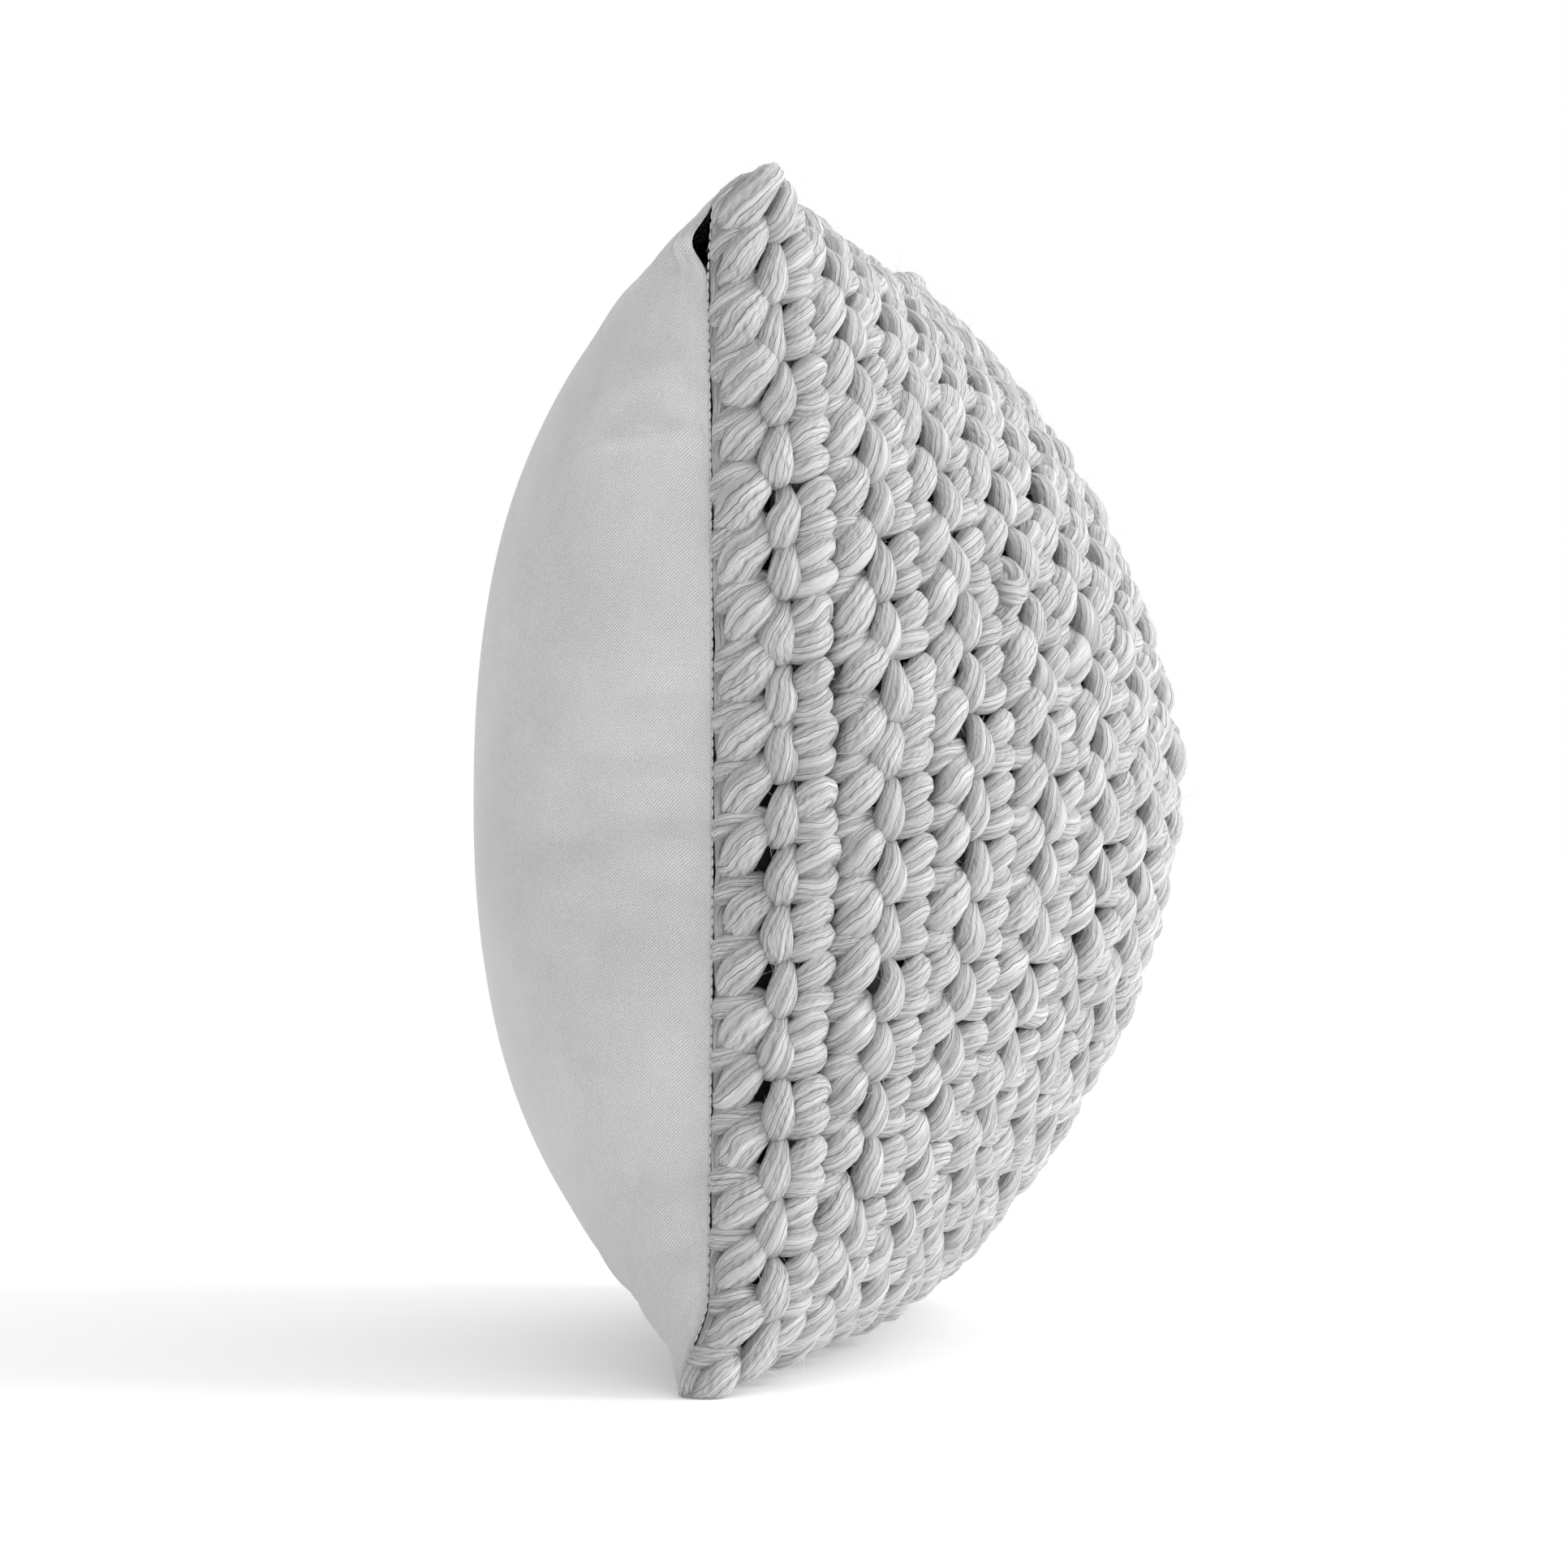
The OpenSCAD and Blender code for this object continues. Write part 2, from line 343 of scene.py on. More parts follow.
def srgb(value, warm=0.0):
    """A near-neutral colour given as an sRGB grey from 0 to 1."""
    linear = ((value + 0.055) / 1.055) ** 2.4
    return (linear * (1 + warm), linear, linear * (1 - warm), 1.0)


# Satin: fine diagonal wales and a soft, silky highlight
satin = cloth_material("satin", srgb(0.99, -0.002), srgb(0.74, -0.002), 0.38, 0.08, 0.46, 1.5, 1.0)
# The lining's dark grey is partly its own colour and partly painted shade for the gaps between the stitches
# and at the slipped corner
lining_cloth = cloth_material("lining_cloth", srgb(0.40), srgb(0.30), 0.8, 0.2, 0.15, 0.9, 0.4)
casing_cloth = cloth_material("casing_cloth", srgb(0.95), srgb(0.90), 0.8, 0.1, 0.08, 0.7, 0.0)


# The crochet's yarn: half its thickness, its plies, the length of one turn of them and how far they run
# round the yarn for each metre of it
THICK = 0.0049
PLIES, FINE_PLIES = 8, 16
TWIST_LENGTH = 0.105
YARN_SLOPE = 2 * math.pi * THICK / TWIST_LENGTH


def yarn_material():
    """Soft plied yarn. Its uv runs round the yarn and along it, in metres."""
    m = Nodes("crochet_yarn")
    uv = m.add("ShaderNodeUVMap", uv_map="weave").outputs[0]
    split = m.add("ShaderNodeSeparateXYZ", {"Vector": uv})
    along, around = split.outputs[0], split.outputs[1]
    place = m.add("ShaderNodeTexCoord").outputs["Object"]
    wave = m.math("MULTIPLY", m.noise(place, 95.0, 2.0), 0.0020)

    def fibres(stretch, drift, scale, detail):
        slant = m.math("ADD", m.math("ADD", around, m.math("MULTIPLY", along, drift)), wave)
        inputs = {"X": m.math("MULTIPLY", along, stretch), "Y": slant}
        return m.noise(m.add("ShaderNodeCombineXYZ", inputs).outputs[0], scale, detail, 0.6)

    coarse = fibres(0.07, -YARN_SLOPE, 520.0, 2.0)
    fine = fibres(0.04, -YARN_SLOPE * 1.1, 2300.0, 3.0)
    # Painted shade: thin dark lines between the fine plies, some of them deeper than others
    swayed = m.math("ADD", around, m.math("MULTIPLY", wave, 1.4))
    turn = m.math("SUBTRACT", swayed, m.math("MULTIPLY", along, YARN_SLOPE))
    line = m.math("ABSOLUTE", m.math("SINE", m.math("MULTIPLY", turn, FINE_PLIES / 2 / THICK)))
    line = m.ramp(line, 0.0, 0.26, 1.0, 0.0)
    deep = m.ramp(fibres(0.03, -YARN_SLOPE, 330.0, 1.0), 0.36, 0.60, 0.15, 1.0)
    shaded_creases = m.math("MULTIPLY", line, deep)
    # Painted shade: thin dark lines in the gaps between the fibres
    fibre_gap_shade = m.ramp(m.math("ABSOLUTE", m.math("SUBTRACT", fine, 0.5)), 0.0, 0.05, 1.0, 0.0)
    patch = m.noise(place, 45.0, 3.0)
    # Painted shade from the mesh: darker down between the stitches, between the plies and on the sides facing
    # into the fabric
    painted_shade = m.add("ShaderNodeAttribute", attribute_name="painted_shade").outputs["Fac"]
    share = m.math("ADD", m.ramp(fine, 0.34, 0.66, 0.62, 1.0), m.ramp(patch, 0.3, 0.7, -0.10, 0.10))
    # Painted shade in the creases between the plies darkens the colour; the creases also carve the bump
    share = m.math("SUBTRACT", share, m.math("MULTIPLY", shaded_creases, 0.66))
    share = m.math("SUBTRACT", share, m.math("MULTIPLY", fibre_gap_shade, 0.16))
    # The painted shade darkens the colour
    share = m.math("MULTIPLY", share, m.ramp(painted_shade, 0.0, 1.0, 0.16, 1.06))
    relief = m.math("ADD", m.math("MULTIPLY", coarse, 0.9), m.math("MULTIPLY", fine, 0.5))
    relief = m.math("SUBTRACT", relief, m.math("MULTIPLY", shaded_creases, 0.5))
    m.shade(
        Base_Color=m.blend(m.ramp(share, 0.0, 1.0), srgb(0.36, -0.004), srgb(0.875, -0.002)),
        Roughness=m.ramp(fine, 0.3, 0.7, 0.62, 0.40),
        Sheen_Weight=0.5,
        Sheen_Roughness=0.4,
        Subsurface_Weight=0.08,
        Subsurface_Radius=(0.003, 0.003, 0.003),
        Normal=m.bump(relief, 1.3 * MM, 0.9),
    )
    return m


yarn = yarn_material()


def hair_material():
    """The loose fibres, in the yarn's light tones."""
    m = Nodes("crochet_hair")
    place = m.add("ShaderNodeTexCoord").outputs["Object"]
    tint = m.blend(m.noise(place, 400.0), srgb(0.80, -0.02), srgb(0.92, -0.01))
    m.shade(Base_Color=tint, Roughness=0.5, Sheen_Weight=0.3)
    return m


hair = hair_material()


def simple_material(name, light, dark, rough, scale, bump_mm, metal=0.0):
    """A plain material with a little grain, for thread, nylon, metal, wadding and the floor."""
    m = Nodes(name)
    place = m.add("ShaderNodeTexCoord").outputs["Object"]
    grain = m.noise(place, scale, 4.0, 0.6)
    m.shade(
        Base_Color=m.blend(m.ramp(grain, 0.35, 0.65), dark, light),
        Roughness=m.ramp(grain, 0.3, 0.7, rough - 0.06, rough + 0.08),
        Metallic=metal,
        Normal=m.bump(grain, bump_mm * MM, 0.6),
    )
    return m


sewing_thread = simple_material("sewing_thread", srgb(0.86), srgb(0.74), 0.55, 2500.0, 0.1)
zip_tape_cloth = simple_material("zip_tape_cloth", srgb(0.70), srgb(0.62), 0.8, 1800.0, 0.12)
zip_nylon = simple_material("zip_nylon", srgb(0.66), srgb(0.58), 0.4, 900.0, 0.03)
zip_metal = simple_material("zip_metal", srgb(0.72), srgb(0.60), 0.32, 700.0, 0.02, metal=1.0)
wadding = simple_material("wadding", srgb(0.96), srgb(0.90), 0.9, 300.0, 0.8)

SLOTS = {
    "satin_back": (satin, "satin"),
    "front_lining": (lining_cloth, "lining"),
    "cover_seam_thread": (sewing_thread, "sewing_thread"),
    "overlock_thread": (sewing_thread, "sewing_thread"),
    "zip_tape_front": (zip_tape_cloth, "zip_tape"),
    "zip_tape_back": (zip_tape_cloth, "zip_tape"),
    "zip_coil_front": (zip_nylon, "zip_nylon"),
    "zip_coil_back": (zip_nylon, "zip_nylon"),
    "zip_slider": (zip_metal, "zip_metal"),
    "zip_pull": (zip_metal, "zip_metal"),
    "zip_top_stops": (zip_metal, "zip_metal"),
    "zip_bottom_stop": (zip_metal, "zip_metal"),
    "insert_front_casing": (casing_cloth, "casing"),
    "insert_back_casing": (casing_cloth, "casing"),
    "insert_seam_thread": (sewing_thread, "casing"),
    "fibre_fill": (wadding, "fibre"),
}


def dress(obj, material):
    """Gives a piece its material. The visual model's own pieces all ride the cover."""
    obj.data.materials.clear()
    obj.data.materials.append(material.material)
    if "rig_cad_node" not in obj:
        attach(obj, "cover")


for name, (material, slot) in SLOTS.items():
    dress(frame["nodes"][name], material)

# ---- Crochet ----

ROWS = 26
STITCHES = 21
YARN_BASE = 0.2180
YARN_RISE = 0.1415
YARN_ROLL = 0.0150


class StitchField:
    """Places points given as shares of the stitches and rows on the front, by equal lengths of cloth."""

    SAMPLES = 181
    TABLE = 241
    FITTING_ROUNDS = 6
    SMOOTHING_ROUNDS = 3

    def __init__(self):
        table = self.TABLE
        u = v = spaced(self.SAMPLES)
        grid = front_surface(YARN_BASE, YARN_RISE, YARN_ROLL, u[None, :], v[:, None])
        share = np.linspace(0, 1, table)
        along_u = self.lengths(grid, 1)
        along_v = self.lengths(grid, 0)
        u_at = np.stack([np.interp(share, along_u[i], u) for i in range(len(v))])
        v_at = np.stack([np.interp(share, along_v[:, j], v) for j in range(len(u))])
        big_v = np.repeat(np.interp(share, along_v[:, len(u) // 2], v)[:, None], table, 1)
        for _ in range(self.FITTING_ROUNDS):
            big_u = np.stack([np.interp(big_v[:, k], v, u_at[:, k]) for k in range(table)], 1)
            big_v = np.stack([np.interp(big_u[k], u, v_at[:, k]) for k in range(table)], 0)
        self.points = front_surface(YARN_BASE, YARN_RISE, YARN_ROLL, big_u, big_v)
        normal = unit(np.cross(np.gradient(self.points, axis=1), np.gradient(self.points, axis=0)))
        # Even the normals out, except at the rim
        for _ in range(self.SMOOTHING_ROUNDS):
            middle = normal[1:-1, 1:-1]
            above_below = normal[:-2, 1:-1] + normal[2:, 1:-1]
            left_right = normal[1:-1, :-2] + normal[1:-1, 2:]
            normal[1:-1, 1:-1] = middle * 2 + above_below + left_right
            normal = unit(normal)
        self.normals = normal

    @staticmethod
    def lengths(grid, axis):
        step = np.linalg.norm(np.diff(grid, axis=axis), axis=2)
        total = np.cumsum(step, axis=axis)
        zero = np.zeros_like(np.take(total, [0], axis=axis))
        total = np.concatenate([zero, total], axis=axis)
        return total / np.take(total, [-1], axis=axis)

    def look_up(self, what, a, b):
        x = np.clip(b, 0, 1) * (self.TABLE - 1)
        y = np.clip(a, 0, 1) * (self.TABLE - 1)
        i, j = (np.minimum(k.astype(int), self.TABLE - 2) for k in (y, x))
        fy, fx = (y - i)[:, None], (x - j)[:, None]
        return (
            what[i, j] * (1 - fy) * (1 - fx)
            + what[i + 1, j] * fy * (1 - fx)
            + what[i, j + 1] * (1 - fy) * fx
            + what[i + 1, j + 1] * fy * fx
        )

    def place(self, a, b, height):
        """a from 0 at the bottom edge to 1 at the top, b from 0 at the -X side to 1 at the +X side."""
        return self.look_up(self.points, a, b) + self.look_up(self.normals, a, b) * height[:, None]


# One stitch of each face of the fabric, as (up the row, across it towards -X, height, half thickness).
# Right side: a big body leans up the row, turns over at its top and goes back as a hook.
RIGHT_SIDE = [
    (-0.02, 0.80, -0.70, 0.85),
    (0.09, 0.66, -0.15, 1.15),
    (0.24, 0.55, 0.40, 1.46),
    (0.45, 0.43, 0.62, 1.60),
    (0.66, 0.27, 0.56, 1.42),
    (0.86, 0.13, 0.26, 1.06),
    (0.98, 0.16, 0.08, 0.86),
    (0.95, 0.40, 0.34, 0.90),
    (0.85, 0.64, 0.46, 1.00),
    (0.72, 0.87, 0.12, 0.92),
    (0.62, 0.98, -0.55, 0.72),
]
# Wrong side: a bar across the row, a petal above it, and a teardrop beside them.
WRONG_SIDE = [
    (0.20, 0.66, -0.20, 0.80),
    (0.25, 0.50, 0.46, 1.10),
    (0.34, 0.28, 0.64, 1.18),
    (0.44, 0.08, 0.40, 1.04),
    (0.58, -0.02, -0.40, 0.74),
    (0.78, 0.00, -0.02, 0.92),
    (0.94, 0.12, 0.50, 1.20),
    (0.82, 0.34, 0.68, 1.30),
    (0.62, 0.54, 0.34, 1.08),
    (0.50, 0.66, -0.35, 0.76),
    (0.26, 0.84, -0.20, 0.95),
    (0.24, 0.88, 0.44, 1.24),
    (0.44, 0.88, 0.76, 1.32),
    (0.72, 0.82, 0.62, 1.06),
    (0.98, 0.76, 0.20, 0.78),
    (1.12, 0.72, -0.40, 0.62),
]
HEIGHT = 0.0085
SIDES = 32
STEP = 0.0022
HAIRS_PER_STEP = 2.2
ROWS_PER_PIECE = 4
# Wrong-side rows stand half a stitch lower along the row, and a little prouder
WRONG_SIDE_SHIFT, WRONG_SIDE_LIFT = -0.50, 0.16
# How unevenly the work goes: each row, each stitch (along, across, height) and each point of a stitch
ROW_DRIFT = 0.07
STITCH_DRIFT = (0.035, 0.040, 0.07)
POINT_DRIFT, POINT_HEIGHT_DRIFT, THICK_DRIFT = 0.024, 0.05, 0.06
ROW_END = 0.06


def smooth_path(points, times):
    """A Catmull-Rom curve through the points, at the given times counted in points."""
    i = np.clip(times.astype(int), 1, len(points) - 3)
    f = (times - i)[:, None]
    a, b, c, d = points[i - 1], points[i], points[i + 1], points[i + 2]
    return 0.5 * (2 * b + (c - a) * f + (2 * a - 5 * b + 4 * c - d) * f**2 + (3 * b - a - 3 * c + d) * f**3)


def row_path(row, rng):
    """The yarn's control points for one row, in stitches and rows."""
    right = row % 2 == 0
    pattern = np.array(RIGHT_SIDE if right else WRONG_SIDE)
    shift = rng.uniform(-ROW_DRIFT, ROW_DRIFT) + (0.0 if right else WRONG_SIDE_SHIFT)
    lift = 0.0 if right else WRONG_SIDE_LIFT
    out = []
    for stitch in range(STITCHES if right else STITCHES + 1):
        one = pattern.copy()
        one[:, 0] += stitch + shift
        for k, drift in enumerate(STITCH_DRIFT):
            one[:, k] += rng.normal(0, drift)
        one[:, 2] += lift
        one[:, :2] += rng.normal(0, POINT_DRIFT, one[:, :2].shape)
        one[:, 2] += rng.normal(0, POINT_HEIGHT_DRIFT, len(one))
        one[:, 3] *= 1 + rng.normal(0, THICK_DRIFT)
        out.append(one)
    path = np.concatenate(out)
    path[:, 0] = np.clip(path[:, 0], ROW_END, STITCHES - ROW_END)
    path[:, 1] = row + 1 - path[:, 1]
    return path


LAYER_GAP = 0.0003  # left between two cloths, or between a fibre and the floor
# The yarn reaches back to just past the seam, and less far in a zone round the zip
SEAM_OVERLAP, ZIP_CLEARANCE = 0.0008, 0.0062
ZONE_X, ZONE_RUN, ZONE_Z, ZONE_RISE = 0.197, 0.012, 0.046, 0.01


def seam_limit(x, z):
    """How far back the yarn may reach: to the seam, and clear of the zip along the bottom."""
    zip_zone = eased((ZONE_X - np.abs(x)) / ZONE_RUN) * eased((ZONE_Z - z) / ZONE_RISE)
    return SEAM_Y + SEAM_OVERLAP - ZIP_CLEARANCE * zip_zone


def level_frame(tangent):
    """A direction at right angles to the yarn at each point, turning as little as possible along it."""
    up = np.zeros_like(tangent)
    up[0] = unit(np.cross(tangent[0], [1.0, 0.3, 0.2]))
    for k in range(1, len(up)):
        up[k] = unit(up[k - 1] - tangent[k] * np.dot(up[k - 1], tangent[k]))
    return up


def plies(angle, at, starts):
    """The plies' outline round the yarn, from 0 between two plies to 1 on top of one, and its depth."""
    slow = at[:, None] * 55
    ply = angle - (at / TWIST_LENGTH * 2 * math.pi)[:, None]
    wide = np.sin(ply + starts[0] + 0.6 * np.sin(slow))
    narrow = np.sin(2 * ply + starts[1] + slow)
    ply = ply + 0.30 * wide + 0.16 * narrow
    lobes = np.abs(np.sin(ply * PLIES / 2 + 0.7 * np.sin(slow * 1.7 + starts[2])))
    return lobes, 0.105 + 0.055 * np.sin(ply + slow * 1.3 + starts[3])


CURVE_POINTS = 14  # for each control point
FLATTENED = 0.10
SOFT_STOP = 0.0015
SEED_SPACING = 0.37  # metres of yarn between one tube's place in the yarn's pattern and the next one's
HAIR_OUTWARD, HAIR_HEIGHT = 0.25, 0.05


def yarn_tube(field, control, seed, sides=SIDES, step=STEP):
    """Points, faces, uvs, painted shade tones and hair roots of one yarn.

    control holds the stitch, row, height and thickness at each of its control points.
    """
    rng = np.random.default_rng(seed)
    fine = smooth_path(control, np.linspace(1, len(control) - 2.001, len(control) * CURVE_POINTS))
    a = fine[:, 0] / STITCHES
    b = fine[:, 1] / ROWS
    centre = field.place(a, b, fine[:, 2] * HEIGHT)
    length = np.concatenate([[0], np.cumsum(np.linalg.norm(np.diff(centre, axis=0), axis=1))])
    count = int(length[-1] / step)
    at = np.linspace(0, length[-1], count)
    centre = np.stack([np.interp(at, length, centre[:, k]) for k in range(3)], 1)
    radius = np.interp(at, length, fine[:, 3]) * THICK
    height = np.interp(at, length, fine[:, 2])
    a, b = np.interp(at, length, a), np.interp(at, length, b)
    centre[1:-1] = (centre[:-2] + 2 * centre[1:-1] + centre[2:]) / 4
    tangent = unit(np.gradient(centre, axis=0))
    up = level_frame(tangent)
    side = np.cross(tangent, up)
    angle = np.linspace(0, 2 * math.pi, sides, endpoint=False)[None, :]
    lobes, depth = plies(angle, at, rng.uniform(0, 2 * math.pi, 4))
    r = radius[:, None] * (1 - depth * (1 - lobes**0.65))
    ring = np.cos(angle)[:, :, None] * up[:, None, :] + np.sin(angle)[:, :, None] * side[:, None, :]
    offset = ring * r[:, :, None]
    # Soft yarn flattens against the fabric
    normal = field.look_up(field.normals, a, b)
    out = np.einsum("ijk,ik->ij", offset, normal)
    offset -= (out * FLATTENED)[:, :, None] * normal[:, None, :]
    points = centre[:, None, :] + offset
    # It stops softly at the seam, and lies on the floor
    limit = seam_limit(points[:, :, 0], points[:, :, 2])
    over = np.maximum(0, points[:, :, 1] - limit + SOFT_STOP)
    points[:, :, 1] -= over - SOFT_STOP * over / (over + SOFT_STOP)
    z = points[:, :, 2]
    points[:, :, 2] = np.maximum(z, 0.0002 + 0.02 * np.clip(z, 0, 0.05))
    # Painted shade: darker down between the stitches, between the plies and on the side that faces into the
    # fabric
    outward = out / np.maximum(radius[:, None], 1e-6)
    shade_tones = (0.12 + 0.88 * lobes**0.7) * eased((height[:, None] + 0.85) / 0.8)
    shade_tones *= 0.30 + 0.70 * eased((outward + 0.30) / 0.95)
    quads = grid_quads(count, sides + 1)
    # Join the last column to the first
    i, j = quads // (sides + 1), quads % (sides + 1)
    uv = np.stack([at[i] + seed * SEED_SPACING, j / sides * 2 * math.pi * THICK], axis=-1)
    quads = i * sides + j % sides
    # Hair starts on the outer side, where the yarn stands proud
    i, j = np.nonzero((outward > HAIR_OUTWARD) & (height[:, None] > HAIR_HEIGHT))
    pick = rng.choice(len(i), min(len(i), int(count * HAIRS_PER_STEP)), replace=False)
    i, j = i[pick], j[pick]
    roots = (points[i, j], tangent[i], ring[i, j])
    return points.reshape(-1, 3), quads[:, ::-1], uv[:, ::-1].reshape(-1, 2), shade_tones.ravel(), roots


BORDER_INSET = {True: 0.16, False: 0.14}  # from the first or last row's edge, and from the stitches' ends
BORDER_DRIFT, BORDER_END = 0.05, 0.1


def border_path(along_row, at_end, seed):
    """The yarn that finishes one edge: along the first or last row, or across all the rows at one end."""
    rng = np.random.default_rng(seed)
    count = (STITCHES if along_row else ROWS) * 2
    far = 1.0 if at_end else 0.0
    k = np.arange(count + 1)
    zigzag = (-1.0) ** k
    run = k / 2 + rng.normal(0, BORDER_DRIFT, count + 1)
    inset = BORDER_INSET[along_row] + 0.06 * zigzag + rng.normal(0, 0.02, count + 1)
    if along_row:
        stitch, row = np.clip(run, BORDER_END, STITCHES - BORDER_END), abs(far * ROWS - inset)
    else:
        stitch, row = abs(far * STITCHES - inset), np.clip(run, BORDER_END, ROWS - BORDER_END)
    height = -0.32 + 0.10 * zigzag
    thick = 1.0 + 0.12 * (-1.0) ** (k // 2)
    return np.stack([stitch, row, height, thick], axis=1)


CORE_END, CORE_HEIGHT, CORE_THICK, CORE_DRIFT = 0.15, -0.62, 1.25, 0.05


def core_path(row, seed):
    """The hidden run of yarn that each row's stitches are worked round."""
    rng = np.random.default_rng(seed)
    stitch = np.linspace(CORE_END, STITCHES - CORE_END, STITCHES * 2)
    height = CORE_HEIGHT + rng.normal(0, CORE_DRIFT, len(stitch))
    across_row = row + 0.5 + rng.normal(0, CORE_DRIFT, len(stitch))
    return np.stack([stitch, across_row, height, np.full(len(stitch), CORE_THICK)], axis=1)


def corner_knot(at_top, at_right, seed):
    """The loop that turns the work at a corner, tucked round the corner's tip."""
    rng = np.random.default_rng(seed)
    loop = np.array(
        [
            (1.10, 0.10, -0.60, 0.80),
            (0.70, 0.12, -0.10, 1.00),
            (0.22, 0.20, 0.10, 1.20),
            (0.10, 0.62, 0.16, 1.20),
            (0.34, 1.00, 0.05, 1.10),
            (0.80, 0.84, -0.30, 0.95),
            (0.60, 0.40, -0.45, 1.10),
            (0.22, 0.10, -0.35, 1.05),
            (0.60, 0.05, -0.60, 0.80),
        ]
    )
    loop += rng.normal(0, 0.02, loop.shape)
    if at_top and at_right:  # this one lies lower and thinner
        loop[:, 2:] -= (0.30, 0.20)
    if at_top:
        loop[:, 0] = STITCHES - loop[:, 0]
    if at_right:
        loop[:, 1] = ROWS - loop[:, 1]
    return loop


field = StitchField()
hair_roots = []


def crochet_piece(name, paths, seed, **shape):
    """One visible piece made of several yarns."""
    parts, offset = [], 0
    for k, control in enumerate(paths):
        points, quads, uv, shade_tones, roots = yarn_tube(field, control, seed + k, **shape)
        parts.append((points, quads + offset, uv, shade_tones))
        offset += len(points)
        hair_roots.append(roots)
    points, quads, uvs, shade_tones = (np.concatenate(column) for column in zip(*parts))
    piece = mesh_object(name, round_tip(lean(points)), quads, uvs=uvs, shade_tones=shade_tones)
    dress(piece, yarn)
    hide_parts("crochet_front")


for first in range(0, ROWS, ROWS_PER_PIECE):
    last = min(first + ROWS_PER_PIECE, ROWS)
    paths = [row_path(row, np.random.default_rng(100 + row)) for row in range(first, last)]
    crochet_piece(f"crochet_rows_{first + 1:02d}_{last:02d}", paths, 300 + first)
borders = [border_path(along, end, 40 + 2 * along + end) for along in (True, False) for end in (False, True)]
knots = [corner_knot(top, right, 60 + 2 * top + right) for top in (False, True) for right in (False, True)]
crochet_piece("crochet_border", borders + knots, 400)

KNOT_STITCH, KNOT_ROW = 13.9, 6.4
KNOT_POINTS, KNOT_CURL, KNOT_LOOP = 9, 9.0, 0.15


def end_knot_path():
    """The one yarn end that is knotted and worked in on the face: a small curl that stands up."""
    t = np.linspace(0, 1, KNOT_POINTS)
    stitch = KNOT_STITCH - 0.30 + 0.66 * (t - 0.5) + KNOT_LOOP * np.sin(t * KNOT_CURL)
    row = KNOT_ROW + 0.50 * (t - 0.4) + KNOT_LOOP * np.cos(t * KNOT_CURL)
    rise = np.sin(t * math.pi)
    return np.stack([stitch, row, 0.85 + 0.45 * rise - 3.6 * (t - 0.5) ** 2, 0.66 + 0.40 * rise], axis=1)


crochet_piece("crochet_end_knot", [end_knot_path()], 450)
crochet_piece("crochet_cores", [core_path(row, 500 + row) for row in range(ROWS)], 600, sides=12, step=0.006)


HAIR_SEGMENTS = 3
HAIR_WIDTH = 0.000065
HAIR_SHAPE, HAIR_SCALE = 3.0, 0.0013  # of the gamma distribution of their lengths, in metres
HAIR_SINK = 0.0004


def hair_object(name, roots, seed):
    """Fine loose fibres: narrow ribbons that lift off the yarn."""
    rng = np.random.default_rng(seed)
    start, along, out = (np.concatenate(column) for column in zip(*roots))
    n = len(start)
    sign = rng.choice([-1.0, 1.0], n)[:, None]
    wild = rng.normal(0, 0.45, (n, 3))
    heading = unit(along * sign + out * rng.uniform(0.10, 0.75, n)[:, None] + wild)
    bend = rng.normal(0, 0.6, (n, 3)) - out * 0.25
    length = rng.gamma(HAIR_SHAPE, HAIR_SCALE, n)[:, None]
    side = unit(np.cross(heading, out + 0.3 * rng.normal(0, 1, (n, 3))))
    points = []
    for k in range(HAIR_SEGMENTS + 1):
        t = k / HAIR_SEGMENTS
        middle = start - out * HAIR_SINK + heading * length * t + bend * length * t * t * 0.6
        width = HAIR_WIDTH * (1.15 - t)
        points += [middle - side * width, middle + side * width]
    points = np.stack(points, axis=1)
    points[:, :, 1] = np.minimum(points[:, :, 1], seam_limit(points[:, :, 0], points[:, :, 2]) + LAYER_GAP)
    points[:, :, 2] = np.maximum(points[:, :, 2], LAYER_GAP)
    base = (np.arange(n) * 2 * (HAIR_SEGMENTS + 1))[:, None, None]
    one = np.array([[2 * k, 2 * k + 1, 2 * k + 3, 2 * k + 2] for k in range(HAIR_SEGMENTS)])[None]
    quads = (base + one).reshape(-1, 4)
    piece = mesh_object(name, round_tip(lean(points.reshape(-1, 3))), quads)
    dress(piece, hair)
    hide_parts("crochet_front")


hair_object("crochet_fuzz", hair_roots, 9)

# ---- Satin back ----


PUCKERS = 26  # along each pair of opposite edges


def bell(t):
    return np.exp(-(t**2))


def puckers(u, v, seed):
    """Height of the small folds that the seam pulls into the cloth, all at right angles to it."""
    out = np.zeros(np.broadcast(u, v).shape)
    for k, (run, towards) in enumerate(((v, u), (u, v))):
        folds = np.random.default_rng(seed + k)
        gap = 1 - np.abs(towards)
        strength = np.where(towards < 0, 1, 0.8) * eased(gap / 0.015)
        for _ in range(PUCKERS):
            middle, width = folds.uniform(-0.9, 0.9), folds.uniform(0.010, 0.030)
            depth, reach = folds.uniform(0.0006, 0.0028), folds.uniform(0.05, 0.20)
            drift = folds.normal(0, 0.25)
            shape = bell((run - middle - drift * gap) / (width + 0.10 * gap))
            fade = np.exp(-((gap / reach) ** 1.3))
            out += strength * depth * shape * fade * folds.choice([-1.0, 1.0])
    return out


SATIN_BASE, SATIN_RISE, SATIN_GRID = 0.2178, 0.1193, 150
INSIDE_BASE, INSIDE_RISE = 0.2170, 0.1192
WAVES = ((6, 0.0011, 5), (13, 0.0005, 6))  # cells each way, height and seed
# Near one top corner the satin has slipped off the crochet's edge and folds over
SLIP_Z, SLIP_BAND, SLIP_X, SLIP_RUN = 0.417, 0.0085, 0.150, 0.05
SLIP_IN, SLIP_BACK, FOLD_BACK = 0.0030, 0.0075, 0.0030


